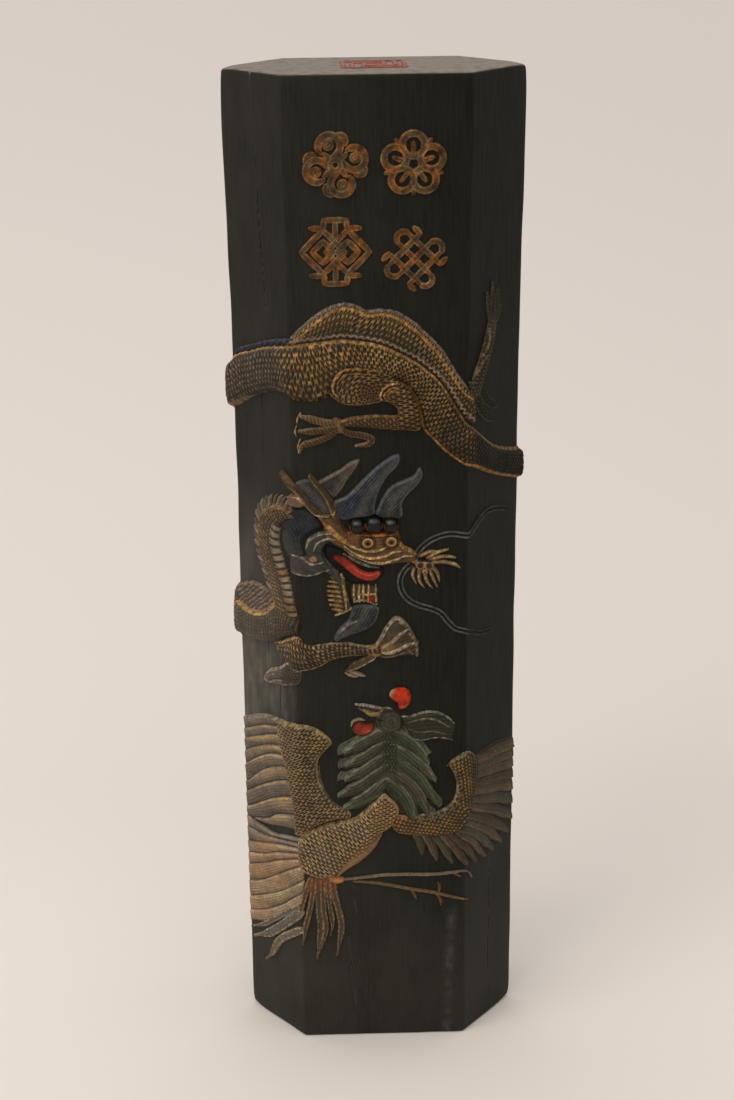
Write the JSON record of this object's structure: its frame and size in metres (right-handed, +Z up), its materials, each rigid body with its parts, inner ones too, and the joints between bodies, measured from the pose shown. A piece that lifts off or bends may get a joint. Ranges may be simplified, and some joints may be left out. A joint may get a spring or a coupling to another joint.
{
  "type": "moulded display ink stick",
  "caption": "Tall six-sided stick of pressed ink with a painted dragon and phoenix in low relief, gilt ornaments and a seal on its top face.",
  "frame": {"origin": "middle of the base, on the block's upright axis, where it stands on a surface", "axes": "+Z up along the stick, -Y out of the front face with the ornaments, +X to the right of someone facing the front"},
  "size_m": [0.0831, 0.0447, 0.2803],
  "materials": {
    "pressed_ink": "satin black, softly worn, with a fine upright grain",
    "gilt_paint": "ochre gold paint, rubbed brown",
    "dragon_scales": "brown ink relief dry-brushed with dull gold",
    "worn_gold": "dull gold paint worn to brown",
    "blue_pigment": "thin slate blue paint",
    "black_lacquer": "gloss black over slate blue",
    "red_pigment": "vermilion paint",
    "green_pigment": "thin sage green paint",
    "tan_pigment": "thin tan and brown paint"
  },
  "bodies": {
    "root": {"ink_body": "pressed_ink", "top_seal": "red_pigment", "cloud_ornament": "gilt_paint", "blossom_ornament": "gilt_paint", "lozenge_ornament": "gilt_paint", "knot_ornament": "gilt_paint", "dragon_trunk": "dragon_scales", "dragon_back_coil": "dragon_scales", "dragon_back_spines": "blue_pigment", "dragon_rear_body": "dragon_scales", "dragon_tail": "dragon_scales", "dragon_haunch": "dragon_scales", "dragon_hind_claw": "worn_gold", "dragon_side_leg": "dragon_scales", "dragon_neck": "dragon_scales", "dragon_lower_coil": "dragon_scales", "dragon_foreleg": "dragon_scales", "dragon_fore_claw": "worn_gold", "dragon_head": "worn_gold", "dragon_horns": "worn_gold", "dragon_brow_beads": "black_lacquer", "dragon_eyes": "worn_gold", "dragon_tongue": "red_pigment", "dragon_teeth": "worn_gold", "dragon_jaw_frill": "worn_gold", "dragon_mane": "blue_pigment", "dragon_beard": "blue_pigment", "dragon_whiskers": "worn_gold", "dragon_nose_tuft": "worn_gold", "phoenix_comb": "red_pigment", "phoenix_wattle": "red_pigment", "phoenix_head": "green_pigment", "phoenix_crest": "green_pigment", "phoenix_hackle": "green_pigment", "phoenix_body": "dragon_scales", "phoenix_left_wing": "tan_pigment", "phoenix_right_wing": "tan_pigment", "phoenix_tail_plumes": "tan_pigment", "phoenix_tail_strands": "tan_pigment", "phoenix_legs": "tan_pigment"}
  },
  "joints": []
}
